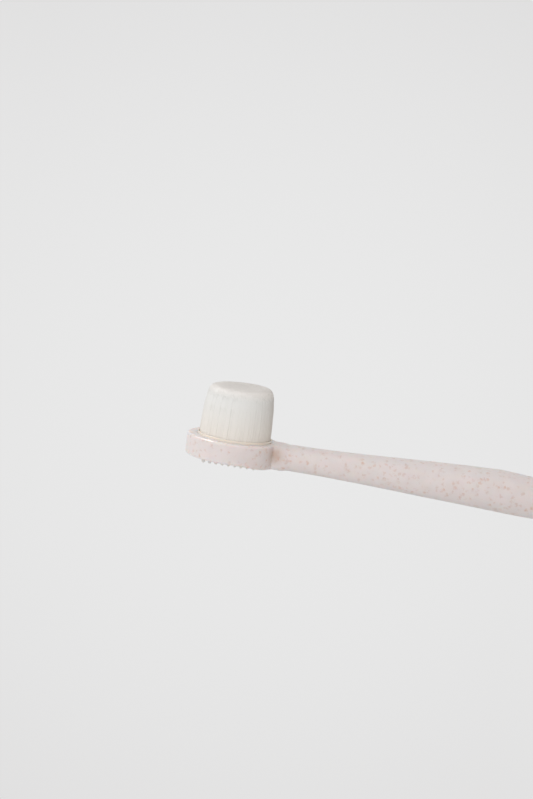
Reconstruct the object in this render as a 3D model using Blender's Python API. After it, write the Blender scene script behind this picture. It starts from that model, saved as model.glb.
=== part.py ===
"""A dog toothbrush with a round head, in metres, +Z up.

It lies on the flat land under its grip, with the head at -X and the bristles up. The origin is at
the middle of its length and width, on the surface that it lies on.
"""

import math

import bmesh
import bpy
from mathutils import Matrix, Vector

MM = 0.001

# Room left between separate pieces
CLEARANCE = 0.3 * MM

# Head: a round plate, whose middle plane lies a little above the handle's axis. Its radius and
# thickness follow from what it holds: the wall is round the tuft's pocket, the lip is over the
# carrier's flange, and the floor is between the pocket and the ends of the pad's keys.
HEAD_WALL = 0.95 * MM
HEAD_LIP = 1.0 * MM
HEAD_FLOOR = 0.9 * MM
HEAD_RISE = 0.42 * MM
HEAD_EDGE = 1.0 * MM
HEAD_FLAT_STEP = 3.0 * MM

# Throat: where the head runs into the neck, in a tight hollow curve at each side. The rim of the
# head's back slopes down towards it.
THROAT_PULL = 0.3 * MM
THROAT_REACH = 1.0 * MM
THROAT_FLARE = 0.15 * MM
THROAT_LIFT = 0.2 * MM
THROAT_DROP = 0.28 * MM
THROAT_RAMP = 0.8 * MM
THROAT_RAMP_START = 3.0 * MM
THROAT_RAMP_LENGTH = 6.0 * MM

# Neck: slimmest just behind the throat, then growing evenly into the grip
NECK_LENGTH = 2.8 * MM
NECK_WIDTH = 8.4 * MM
NECK_THICKNESS = 6.3 * MM
TAPER_LENGTH = 58.0 * MM

# Grip: oval, with a shallow thumb rest on top and a flat land underneath
GRIP_LENGTH = 81.8 * MM
GRIP_WIDTH = 13.0 * MM
GRIP_THICKNESS = 10.15 * MM
BELLY_DROP = 0.5 * MM
BELLY_LEAD = 12.0 * MM
BELLY_SLOPE = 16.0 * MM
LAND_CUT = 0.45 * MM
THUMB_REST_LEAD = 6.0 * MM
THUMB_REST_LENGTH = 36.0 * MM
THUMB_REST_SLOPE = 7.0 * MM
THUMB_REST_DEPTH = 0.62 * MM
TAIL_TAPER = 40.0 * MM
TAIL_NARROWING = 0.7 * MM
TAIL_LOWERING = 0.8 * MM
TAIL_ROUND = 5.5 * MM

# Tuft: the block of bristles, fused at the root, a little nearer the handle than the head's centre
TUFT_OFFSET = 0.3 * MM
TUFT_RADIUS = 8.7 * MM
TUFT_HEIGHT = 13.0 * MM
TUFT_CROWN = 3.0 * MM
TUFT_SPREAD = 0.6 * MM
ROOT_SINK = 0.3 * MM
ROOT_MARGIN = 0.06 * MM
STRAND_COUNT = 420
STRAND_RADIUS = 0.28 * MM
STRAND_TIP_RADIUS = 0.17 * MM

# Carrier: the ring round the root, with a collar that shows and a flange held under the head's lip
CARRIER_WALL = 0.45 * MM
CARRIER_PROUD = 0.55 * MM
CARRIER_EDGE = 0.15 * MM
FLANGE_WIDTH = 0.5 * MM
FLANGE_THICKNESS = 0.7 * MM

# Tongue cleaner: a soft pad in the back of the head, with rows of nubs and four keys
PAD_RIM = 1.6 * MM
PAD_THICKNESS = 1.1 * MM
PAD_PROUD = 0.2 * MM
NUB_ROWS = 9
NUB_MARGIN = 0.1 * MM
NUB_PITCH = 1.53 * MM
NUB_RADIUS = 0.5 * MM
NUB_HEIGHT = 0.95 * MM
NUB_TIP_HEIGHT = 0.25 * MM
KEY_COUNT = 4
KEY_CIRCLE_RADIUS = 5.0 * MM
KEY_RADIUS = 1.0 * MM
KEY_LENGTH = 0.8 * MM

# Facets
HEAD_COLUMNS = 24
PATCH_SIDE = 3
ROUND_STEPS = 48
KEY_SIDES = 12
NUB_SIDES = 6
STRAND_SIDES = 3
TAPER_STEPS = 6
SLOPE_STEPS = 2
GRIP_STEPS = 3
TAIL_STEPS = 3

# Shape rules, without a unit
SECTION_FULLNESS = 0.06
THROAT_FULLNESS = 0.16
THROAT_CREASE = 0.6
TAIL_END_SHARE = 0.35
NUB_SHOULDER_SHARE = 0.88
NUB_TIP_SHARE = 0.6
CROWN_POWER = 9
GOLDEN_ANGLE = math.pi * (3.0 - math.sqrt(5.0))
SHARP_ANGLE = math.radians(35.0)
MERGE_DISTANCE = 0.001 * MM

# Radii of the head and what it holds
ROOT_RADIUS = TUFT_RADIUS - CLEARANCE
COLLAR_RADIUS = TUFT_RADIUS + CARRIER_WALL
FLANGE_RADIUS = COLLAR_RADIUS + FLANGE_WIDTH
HEAD_RADIUS = TUFT_OFFSET + FLANGE_RADIUS + CLEARANCE + HEAD_WALL
PAD_RADIUS = HEAD_RADIUS - PAD_RIM - CLEARANCE

# Depths of the pocket and the recess, and what they make of the head's thickness
POCKET_DEPTH = CLEARANCE + FLANGE_THICKNESS + CLEARANCE + HEAD_LIP
RECESS_DEPTH = PAD_THICKNESS - PAD_PROUD + CLEARANCE
HEAD_THICKNESS = POCKET_DEPTH + HEAD_FLOOR + KEY_LENGTH + RECESS_DEPTH

# Places along X, measured from the head's centre
THROAT_X = HEAD_RADIUS + THROAT_REACH
NECK_X = HEAD_RADIUS + NECK_LENGTH
GRIP_X = NECK_X + TAPER_LENGTH
TAIL_X = GRIP_X + GRIP_LENGTH
THUMB_REST_X = GRIP_X - THUMB_REST_LEAD
THUMB_REST_END_X = THUMB_REST_X + THUMB_REST_LENGTH
TAIL_ROUND_X = TAIL_X - TAIL_ROUND

# Places of the handle and the head in the brush's own frame
BRUSH_LENGTH = HEAD_RADIUS + TAIL_X
HEAD_X = HEAD_RADIUS - BRUSH_LENGTH / 2
AXIS_HEIGHT = GRIP_THICKNESS / 2 + BELLY_DROP - LAND_CUT

# Heights about the head's own centre
HEAD_TOP = HEAD_THICKNESS / 2
HEAD_BACK = -HEAD_THICKNESS / 2
POCKET_FLOOR = HEAD_TOP - POCKET_DEPTH
ROOT_BOTTOM = POCKET_FLOOR + CLEARANCE
ROOT_TOP = HEAD_TOP - ROOT_SINK
FLANGE_TOP = ROOT_BOTTOM + FLANGE_THICKNESS
LIP_UNDERSIDE = FLANGE_TOP + CLEARANCE
RECESS_CEILING = HEAD_BACK + RECESS_DEPTH
PAD_TOP = RECESS_CEILING - CLEARANCE
PAD_BOTTOM = PAD_TOP - PAD_THICKNESS
KEY_HOLE_TOP = PAD_TOP + KEY_LENGTH + CLEARANCE


def smooth_step(share):
    """Ease from 0 to 1 as share goes from 0 to 1, level at both ends."""
    share = min(max(share, 0.0), 1.0)
    return share * share * (3.0 - 2.0 * share)


def mix(first, second, share):
    """Give the value that lies at this share of the way from first to second."""
    return first + (second - first) * share


def cage_share(sides):
    """Give the share of a ring-shaped cage's radius that its subdivided surface reaches."""
    return (2.0 + math.cos(2.0 * math.pi / sides)) / 3.0


def plastic(name, red, green, blue, roughness):
    """Make a plain material from a colour as a screen shows it, each part from 0 to 255."""
    linear = [((level / 255.0 + 0.055) / 1.055) ** 2.4 for level in (red, green, blue)]
    material = bpy.data.materials.new(name)
    material.use_nodes = True
    shader = material.node_tree.nodes["Principled BSDF"]
    shader.inputs["Base Color"].default_value = (*linear, 1.0)
    shader.inputs["Roughness"].default_value = roughness
    shader.inputs["Metallic"].default_value = 0.0
    return material


def add_object(name, bm, parent, material=None, sharp_angle=SHARP_ANGLE):
    """Turn a bmesh into an object under a parent, with its faces pointing out."""
    bmesh.ops.recalc_face_normals(bm, faces=bm.faces)
    mesh = bpy.data.meshes.new(name)
    bm.to_mesh(mesh)
    bm.free()
    mesh.shade_smooth()
    mesh.set_sharp_from_angle(angle=sharp_angle)
    thing = bpy.data.objects.new(name, mesh)
    bpy.context.scene.collection.objects.link(thing)
    thing.parent = parent
    if material is not None:
        mesh.materials.append(material)
    return thing


def add_cutter(name, bm, parent):
    """Make a shape that only cuts another, and isn't part of the brush."""
    cutter = add_object(name, bm, parent)
    cutter.hide_render = True
    cutter.display_type = "WIRE"
    return cutter


def cut(piece, cutter):
    """Take the cutter's shape out of a piece."""
    modifier = piece.modifiers.new("cut by " + cutter.name, "BOOLEAN")
    modifier.operation = "DIFFERENCE"
    modifier.solver = "EXACT"
    modifier.object = cutter


def turned(profile, closed):
    """Spin a profile of radius and height points round Z, into one closed body."""
    bm = bmesh.new()
    verts = [bm.verts.new((radius, 0.0, height)) for radius, height in profile]
    edges = [bm.edges.new(pair) for pair in zip(verts, verts[1:])]
    if closed:
        edges.append(bm.edges.new((verts[-1], verts[0])))
    bmesh.ops.spin(
        bm, geom=verts + edges, cent=(0, 0, 0), axis=(0, 0, 1), dvec=(0, 0, 0),
        angle=2.0 * math.pi, steps=ROUND_STEPS, use_merge=True, use_duplicate=False,
    )
    bmesh.ops.remove_doubles(bm, verts=bm.verts, dist=MERGE_DISTANCE)
    return bm


# Handle body

def section_at(x):
    """Give the handle's half width, and its reach above and below the axis, at this place."""
    growth = smooth_step((x - NECK_X) / TAPER_LENGTH)
    ending = smooth_step((x - (TAIL_X - TAIL_TAPER)) / TAIL_TAPER)
    pressed = smooth_step((x - THUMB_REST_X) / THUMB_REST_SLOPE)
    pressed -= smooth_step((x - THUMB_REST_END_X + THUMB_REST_SLOPE) / THUMB_REST_SLOPE)
    belly = smooth_step((x - GRIP_X + BELLY_LEAD) / BELLY_SLOPE)
    half_width = mix(NECK_WIDTH, GRIP_WIDTH, growth) / 2 - TAIL_NARROWING * ending
    half_thickness = mix(NECK_THICKNESS, GRIP_THICKNESS, growth) / 2
    rise = half_thickness - THUMB_REST_DEPTH * pressed - TAIL_LOWERING * ending
    drop = half_thickness + BELLY_DROP * belly
    return half_width, rise, drop


def throat_section():
    """Give the section just behind the head, a little larger all round than the neck."""
    half_width, rise, drop = section_at(NECK_X)
    return half_width + THROAT_FLARE, rise + THROAT_LIFT, drop + THROAT_DROP


def spread(first, last, steps):
    """List places at even steps from first to last, without first itself."""
    return [mix(first, last, step / steps) for step in range(1, steps + 1)]


def handle_stations():
    """List where the handle's cage has a section, with its sizes and how full its corners are."""
    rest_edge = THUMB_REST_X + THUMB_REST_SLOPE
    end_edge = THUMB_REST_END_X - THUMB_REST_SLOPE
    places = [NECK_X]
    places += spread(NECK_X, THUMB_REST_X, TAPER_STEPS)
    places += spread(THUMB_REST_X, rest_edge, SLOPE_STEPS)
    places += spread(rest_edge, end_edge, GRIP_STEPS)
    places += spread(end_edge, THUMB_REST_END_X, SLOPE_STEPS)
    places += spread(THUMB_REST_END_X, TAIL_ROUND_X, GRIP_STEPS)
    stations = [(THROAT_X, throat_section(), THROAT_FULLNESS)]
    stations += [(x, section_at(x), SECTION_FULLNESS) for x in places]
    for turn in spread(0.0, math.pi / 2, TAIL_STEPS):
        share = max(math.cos(turn), TAIL_END_SHARE)
        sizes = [size * share for size in section_at(TAIL_ROUND_X)]
        stations.append((TAIL_ROUND_X + TAIL_ROUND * math.sin(turn), sizes, SECTION_FULLNESS))
    return stations


def section_point(column, row, fullness):
    """Place a point of the square patch that carries a section, on or in a circle of radius 1."""
    across = (2 * column - PATCH_SIDE) / PATCH_SIDE
    up = (2 * row - PATCH_SIDE) / PATCH_SIDE
    reach = max(abs(across), abs(up))
    if reach == 0.0:
        return 0.0, 0.0
    if abs(across) == abs(up):
        reach *= 1.0 + fullness
    if abs(up) >= abs(across):
        angle = across / abs(up) * math.pi / 4
        return reach * math.sin(angle), math.copysign(reach * math.cos(angle), up)
    angle = up / abs(across) * math.pi / 4
    return math.copysign(reach * math.cos(angle), across), reach * math.sin(angle)


def place_section(faces, x, sizes, fullness):
    """Move a patch's points onto one section of the handle."""
    half_width, rise, drop = [size / cage_share(4 * PATCH_SIDE) for size in sizes]
    points = {vert for face in faces for vert in face.verts}
    by_height = sorted(points, key=lambda vert: vert.co.z)
    width = PATCH_SIDE + 1
    for row in range(width):
        in_row = sorted(by_height[row * width:(row + 1) * width], key=lambda vert: vert.co.y)
        for column, vert in enumerate(in_row):
            across, up = section_point(column, row, fullness)
            vert.co = (x, half_width * across, (rise if up > 0.0 else drop) * up)


def handle_cage():
    """Model the coarse cage of head, neck and grip, about the handle's axis at the head's centre."""
    bm = bmesh.new()
    column_angle = 2.0 * math.pi / HEAD_COLUMNS
    turn = column_angle / 2 * (PATCH_SIDE % 2) - math.pi / 2
    place = Matrix.Translation((0, 0, HEAD_RISE)) @ Matrix.Rotation(turn, 4, "Z")
    cage_radius = HEAD_RADIUS / cage_share(HEAD_COLUMNS)
    bmesh.ops.create_cone(
        bm, cap_ends=True, segments=HEAD_COLUMNS, radius1=cage_radius, radius2=cage_radius,
        depth=HEAD_THICKNESS, matrix=place,
    )
    for face in [face for face in bm.faces if len(face.verts) > 4]:
        for step in (HEAD_EDGE, HEAD_FLAT_STEP):
            bmesh.ops.inset_region(bm, faces=[face], thickness=step, use_even_offset=True)
    for vert in bm.verts:
        if vert.co.z < HEAD_RISE:
            vert.co.z -= THROAT_RAMP * smooth_step((vert.co.x - THROAT_RAMP_START) / THROAT_RAMP_LENGTH)
    for height in (HEAD_BACK + HEAD_EDGE, HEAD_TOP - HEAD_EDGE):
        bmesh.ops.bisect_plane(
            bm, geom=bm.verts[:] + bm.edges[:] + bm.faces[:],
            plane_co=(0, 0, HEAD_RISE + height), plane_no=(0, 0, 1),
        )

    # The middle columns of side faces towards +X carry the neck
    half_patch = column_angle * PATCH_SIDE / 2
    patch = []
    for face in bm.faces:
        centre = face.calc_center_median()
        is_side = math.hypot(centre.x, centre.y) > cage_radius - HEAD_EDGE / 2
        if is_side and abs(math.atan2(centre.y, centre.x)) < half_patch:
            patch.append(face)
    for vert in {vert for face in patch for vert in face.verts}:
        if abs(math.atan2(vert.co.y, vert.co.x)) > half_patch - column_angle / 2:
            outward = Vector((vert.co.x, vert.co.y, 0.0)).normalized()
            vert.co -= outward * THROAT_PULL
    crease = bm.edges.layers.float.new("crease_edge")
    for edge in {edge for face in patch for edge in face.edges}:
        if any(face not in patch for face in edge.link_faces):
            edge[crease] = THROAT_CREASE
    for x, sizes, fullness in handle_stations():
        grown = bmesh.ops.extrude_face_region(bm, geom=patch)["geom"]
        bmesh.ops.delete(bm, geom=patch, context="FACES")
        patch = [item for item in grown if isinstance(item, bmesh.types.BMFace)]
        place_section(patch, x, sizes, fullness)
    return bm


def make_handle(parent, head, material):
    """Make the one moulding of head, neck and grip, with the seats of what it carries."""
    body = add_object("handle_body", handle_cage(), parent, material, sharp_angle=math.pi)
    surface = body.modifiers.new("rounded surface", "SUBSURF")
    surface.levels = 1
    surface.render_levels = 1

    pocket = turned(
        [
            (0.0, POCKET_FLOOR),
            (FLANGE_RADIUS + CLEARANCE, POCKET_FLOOR),
            (FLANGE_RADIUS + CLEARANCE, LIP_UNDERSIDE),
            (COLLAR_RADIUS + CLEARANCE, LIP_UNDERSIDE),
            (COLLAR_RADIUS + CLEARANCE, HEAD_TOP + HEAD_THICKNESS),
            (0.0, HEAD_TOP + HEAD_THICKNESS),
        ],
        closed=False,
    )
    pocket.transform(Matrix.Translation((TUFT_OFFSET, 0, 0)))
    cut(body, add_cutter("tuft_pocket_cutter", pocket, head))

    recess = turned(
        [
            (0.0, HEAD_BACK - HEAD_THICKNESS),
            (PAD_RADIUS + CLEARANCE, HEAD_BACK - HEAD_THICKNESS),
            (PAD_RADIUS + CLEARANCE, RECESS_CEILING),
            (0.0, RECESS_CEILING),
        ],
        closed=False,
    )
    cut(body, add_cutter("pad_recess_cutter", recess, head))

    key_holes = bmesh.new()
    for x, y in key_places():
        depth = KEY_HOLE_TOP - HEAD_BACK
        bmesh.ops.create_cone(
            key_holes, cap_ends=True, segments=KEY_SIDES, radius1=KEY_RADIUS + CLEARANCE,
            radius2=KEY_RADIUS + CLEARANCE, depth=depth,
            matrix=Matrix.Translation((x, y, KEY_HOLE_TOP - depth / 2)),
        )
    cut(body, add_cutter("key_hole_cutter", key_holes, head))

    land = bmesh.new()
    bmesh.ops.create_cube(
        land, size=1.0,
        matrix=Matrix.Translation((BRUSH_LENGTH / 2, 0, -AXIS_HEIGHT - GRIP_THICKNESS / 2))
        @ Matrix.Diagonal((BRUSH_LENGTH * 2, GRIP_WIDTH * 2, GRIP_THICKNESS, 1.0)),
    )
    cut(body, add_cutter("land_cutter", land, parent))


# Discs with studs, for the tuft and the pad

def stud_face(bm, height, radius, studs):
    """Make one flat face of a disc with studs standing on it, and give its outline's edges.

    A stud is its foot's x, y, radius, sides and turn, and then the sections that it rises
    through, each a shift in x, y and z and a share of the foot's size.
    """
    outline = bmesh.ops.create_circle(
        bm, cap_ends=False, segments=ROUND_STEPS, radius=radius, matrix=Matrix.Translation((0, 0, height)),
    )["verts"]
    outline_edges = list({edge for vert in outline for edge in vert.link_edges})
    feet = []
    for x, y, foot_radius, sides, turn, _ in studs:
        place = Matrix.Translation((x, y, height)) @ Matrix.Rotation(turn, 4, "Z")
        feet.append(bmesh.ops.create_circle(
            bm, cap_ends=False, segments=sides, radius=foot_radius, matrix=place)["verts"])
    foot_edges = list({edge for foot in feet for vert in foot for edge in vert.link_edges})
    bmesh.ops.triangle_fill(
        bm, use_beauty=True, use_dissolve=False, edges=outline_edges + foot_edges, normal=(0, 0, 1))
    for foot, (x, y, _, _, _, sections) in zip(feet, studs):
        top = bm.faces.new(foot)
        for shift_x, shift_y, shift_z, share in sections:
            top = bmesh.ops.extrude_discrete_faces(bm, faces=[top])["faces"][0]
            centre = Vector((x + shift_x, y + shift_y, height + shift_z))
            for vert, source in zip(top.verts, foot):
                corner = Vector((source.co.x - x, source.co.y - y, 0.0))
                vert.co = centre + corner * share
    return outline_edges


def studded_disc(radius, low, high, studs_above, studs_below):
    """Model a disc between two heights, with studs on either face, as one closed body."""
    bm = bmesh.new()
    above = stud_face(bm, high, radius, studs_above)
    below = stud_face(bm, low, radius, studs_below)
    bmesh.ops.bridge_loops(bm, edges=above + below)
    return bm


def strands():
    """Set out the bristles' strands evenly, by a sunflower's rule, each leaning out a little."""
    reach = ROOT_RADIUS - STRAND_RADIUS - ROOT_MARGIN
    studs = []
    for index in range(STRAND_COUNT):
        share = math.sqrt((index + 0.5) / STRAND_COUNT)
        angle = index * GOLDEN_ANGLE
        x = reach * share * math.cos(angle)
        y = reach * share * math.sin(angle)
        lean = TUFT_SPREAD / reach
        height = TUFT_HEIGHT + HEAD_TOP - ROOT_TOP - TUFT_CROWN * share ** CROWN_POWER
        tip = (x * lean, y * lean, height, STRAND_TIP_RADIUS / STRAND_RADIUS)
        studs.append((x, y, STRAND_RADIUS, STRAND_SIDES, angle, [tip]))
    return studs


def make_tuft(head, material):
    """Make the bristles, standing on the disc that their roots are fused into."""
    bm = studded_disc(ROOT_RADIUS, ROOT_BOTTOM, ROOT_TOP, strands(), [])
    tuft = add_object("bristle_tuft", bm, head, material)
    tuft.location = (TUFT_OFFSET, 0, 0)


def make_carrier(head, material):
    """Make the ring that holds the tuft: a flange under the head's lip and a collar that shows."""
    collar_top = HEAD_TOP + CARRIER_PROUD
    ring = turned(
        [
            (TUFT_RADIUS, ROOT_BOTTOM),
            (FLANGE_RADIUS, ROOT_BOTTOM),
            (FLANGE_RADIUS, FLANGE_TOP),
            (COLLAR_RADIUS, FLANGE_TOP),
            (COLLAR_RADIUS, collar_top - CARRIER_EDGE),
            (COLLAR_RADIUS - CARRIER_EDGE, collar_top),
            (TUFT_RADIUS + CARRIER_EDGE, collar_top),
            (TUFT_RADIUS, collar_top - CARRIER_EDGE),
        ],
        closed=True,
    )
    carrier = add_object("bristle_carrier", ring, head, material)
    carrier.location = (TUFT_OFFSET, 0, 0)


def key_places():
    """Give the places of the pad's keys, which are also those of their holes."""
    angles = [2.0 * math.pi * (key + 0.5) / KEY_COUNT for key in range(KEY_COUNT)]
    return [(KEY_CIRCLE_RADIUS * math.cos(angle), KEY_CIRCLE_RADIUS * math.sin(angle)) for angle in angles]


def nubs():
    """Set out the nubs in rows along and across the brush, as far as the pad has room."""
    room = PAD_RADIUS - NUB_RADIUS - NUB_MARGIN
    shoulder = (0.0, 0.0, NUB_TIP_HEIGHT - NUB_HEIGHT, NUB_SHOULDER_SHARE)
    tip = (0.0, 0.0, -NUB_HEIGHT, NUB_TIP_SHARE)
    lines = [(line - (NUB_ROWS - 1) / 2) * NUB_PITCH for line in range(NUB_ROWS)]
    return [
        (x, y, NUB_RADIUS, NUB_SIDES, 0.0, [shoulder, tip])
        for x in lines for y in lines if math.hypot(x, y) <= room
    ]


def make_tongue_cleaner(head, material):
    """Make the soft pad in the back of the head, its nubs down and its keys up."""
    keys = [(x, y, KEY_RADIUS, KEY_SIDES, 0.0, [(0.0, 0.0, KEY_LENGTH, 1.0)]) for x, y in key_places()]
    bm = studded_disc(PAD_RADIUS, PAD_BOTTOM, PAD_TOP, keys, nubs())
    add_object("tongue_cleaner", bm, head, material)


def main():
    """Clear the scene, then make the brush piece by piece."""
    for thing in list(bpy.data.objects):
        bpy.data.objects.remove(thing)

    brush = bpy.data.objects.new("brush", None)
    brush.location = (HEAD_X, 0, AXIS_HEIGHT)
    bpy.context.scene.collection.objects.link(brush)
    head = bpy.data.objects.new("head", None)
    head.parent = brush
    head.location = (0, 0, HEAD_RISE)
    bpy.context.scene.collection.objects.link(head)

    make_handle(brush, head, plastic("straw_plastic", 222, 210, 207, 0.42))
    make_carrier(head, plastic("ivory_plastic", 226, 213, 198, 0.45))
    make_tuft(head, plastic("bristle_nylon", 236, 233, 228, 0.6))
    make_tongue_cleaner(head, plastic("soft_rubber", 222, 217, 213, 0.7))


main()
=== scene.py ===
# %% [markdown]
# A dog toothbrush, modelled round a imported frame
#
# The brush has four pieces: one moulding of head, neck and grip, an ivory ring in the top of the
# head, a dense block of very fine bristles in that ring, and a soft pad with nubs in the back of
# the head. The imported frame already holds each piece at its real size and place. This lesson gives
# each of them a fine surface and a finish, and then sets up the camera, the floor and the light.

# %% Load the frame
import math

import bmesh
import bpy
import numpy as np
from mathutils import Matrix, Vector


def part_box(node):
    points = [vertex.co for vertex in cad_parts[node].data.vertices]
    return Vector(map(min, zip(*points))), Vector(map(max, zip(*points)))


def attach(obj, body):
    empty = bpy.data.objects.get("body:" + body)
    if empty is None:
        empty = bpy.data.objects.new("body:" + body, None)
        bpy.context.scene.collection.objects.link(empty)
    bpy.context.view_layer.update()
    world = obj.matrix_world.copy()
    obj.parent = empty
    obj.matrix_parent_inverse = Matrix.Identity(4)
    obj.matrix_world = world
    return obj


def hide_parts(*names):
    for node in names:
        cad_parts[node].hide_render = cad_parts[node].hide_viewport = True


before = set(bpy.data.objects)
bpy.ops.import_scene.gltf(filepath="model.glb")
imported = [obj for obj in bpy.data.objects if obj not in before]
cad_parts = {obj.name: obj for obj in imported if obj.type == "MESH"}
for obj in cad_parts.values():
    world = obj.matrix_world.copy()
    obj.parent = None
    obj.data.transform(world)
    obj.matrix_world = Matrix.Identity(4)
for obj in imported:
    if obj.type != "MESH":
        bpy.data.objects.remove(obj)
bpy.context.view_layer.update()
MM = 0.001

# %% [markdown]
# Sizes from the frame
#
# A piece that stands in for a packed one has to fill the same space, so its places and radii are
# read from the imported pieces' boxes. Only what a box can't say, such as a wall or an edge's
# roundness, is written down here as a size of its own.

# %% Read the places and radii
handle_low, handle_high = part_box("handle_body")
ring_low, ring_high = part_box("bristle_carrier")
_, tuft_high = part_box("bristle_tuft")
pad_low, pad_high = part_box("tongue_cleaner")

FLANGE_WIDTH = 0.5 * MM
CLEARANCE = 0.3 * MM
HEAD_RADIUS = (handle_high.y - handle_low.y) / 2
HEAD_X = handle_low.x + HEAD_RADIUS
TUFT_X = (ring_low.x + ring_high.x) / 2
RING_RADIUS = (ring_high.x - ring_low.x) / 2 - FLANGE_WIDTH
PAD_RADIUS = (pad_high.x - pad_low.x) / 2
print(f"head radius {HEAD_RADIUS / MM:.2f} mm, its centre at x = {HEAD_X / MM:.2f} mm")
print(f"ring radius {RING_RADIUS / MM:.2f} mm, its centre at x = {TUFT_X / MM:.2f} mm")

# %% [markdown]
# The camera
#
# The photograph looks at the side of the brush from a little above, from a fair distance, with the
# camera rolled so that the handle runs down to the right. A long lens keeps the perspective low, as
# there. The camera is set up first, because everything after it is compared with the photograph.
# It needs four facts: the direction that it looks from, its roll, how many pixels a metre takes at
# the head, and the pixel where the centre of the head lies.

# %% Aim the camera
PHOTO_WIDTH = 533
PHOTO_HEIGHT = 799
PIXELS_PER_METRE = 4092.0
HEAD_PIXEL = (231.8, 447.5)
HEAD_PIXEL_HEIGHT = 5.44 * MM
CAMERA_AZIMUTH = math.radians(1.5)
CAMERA_ELEVATION = math.radians(8.8)
CAMERA_ROLL = math.radians(8.6)
CAMERA_DISTANCE = 0.6
CAMERA_CLIP = (0.01, 100.0)
SENSOR_WIDTH = 36.0


def direction(azimuth, elevation):
    """Give a way from the brush: azimuth 0 is the photograph's side, and 90 degrees is +X."""
    level = math.cos(elevation)
    return Vector((math.sin(azimuth) * level, -math.cos(azimuth) * level, math.sin(elevation)))


def add_camera():
    """Put the camera where the centre of the head falls on its pixel of the photograph."""
    back = direction(CAMERA_AZIMUTH, CAMERA_ELEVATION)
    level_right = Vector((math.cos(CAMERA_AZIMUTH), math.sin(CAMERA_AZIMUTH), 0.0))
    level_up = back.cross(level_right)
    right = level_right * math.cos(CAMERA_ROLL) + level_up * math.sin(CAMERA_ROLL)
    up = back.cross(right)
    across = (HEAD_PIXEL[0] - PHOTO_WIDTH / 2) / PIXELS_PER_METRE
    above = (PHOTO_HEIGHT / 2 - HEAD_PIXEL[1]) / PIXELS_PER_METRE
    aim = Vector((HEAD_X, 0.0, HEAD_PIXEL_HEIGHT)) - right * across - up * above
    lens = bpy.data.cameras.new("camera")
    lens.sensor_width = SENSOR_WIDTH
    lens.lens = SENSOR_WIDTH * CAMERA_DISTANCE * PIXELS_PER_METRE / PHOTO_HEIGHT
    lens.clip_start, lens.clip_end = CAMERA_CLIP
    camera = bpy.data.objects.new("camera", lens)
    place = Matrix((right, up, back)).transposed().to_4x4()
    place.translation = aim + back * CAMERA_DISTANCE
    camera.matrix_world = place
    bpy.context.scene.collection.objects.link(camera)
    bpy.context.scene.camera = camera
    return camera


camera = add_camera()
camera_place = [round(value, 3) for value in camera.location]
print(f"camera with a {camera.data.lens:.1f} mm lens at {camera_place} m")

# %% [markdown]
# Writing shader maths as plain sums
#
# A finish is made of nodes, and most of them are small sums. A class that wraps a node's output can
# turn Python's own operators into Math nodes, so that `1 - mask * 0.5` reads as it would on paper.
# Every other node comes from one method, which takes the node's type, its settings, and what goes
# into its sockets.

# %% Make the finish helpers
NOISE_MIDDLE = (0.3, 0.7)


class Value:
    """One output of a node. A sum or product on it adds a Math node to its finish."""

    def __init__(self, finish, socket):
        self.finish = finish
        self.socket = socket

    def __add__(self, other):
        return self.finish.maths("ADD", self, other)

    def __radd__(self, other):
        return self.finish.maths("ADD", other, self)

    def __sub__(self, other):
        return self.finish.maths("SUBTRACT", self, other)

    def __rsub__(self, other):
        return self.finish.maths("SUBTRACT", other, self)

    def __mul__(self, other):
        return self.finish.maths("MULTIPLY", self, other)

    def __rmul__(self, other):
        return self.finish.maths("MULTIPLY", other, self)

    def __truediv__(self, other):
        return self.finish.maths("DIVIDE", self, other)

    def __rtruediv__(self, other):
        return self.finish.maths("DIVIDE", other, self)


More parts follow.
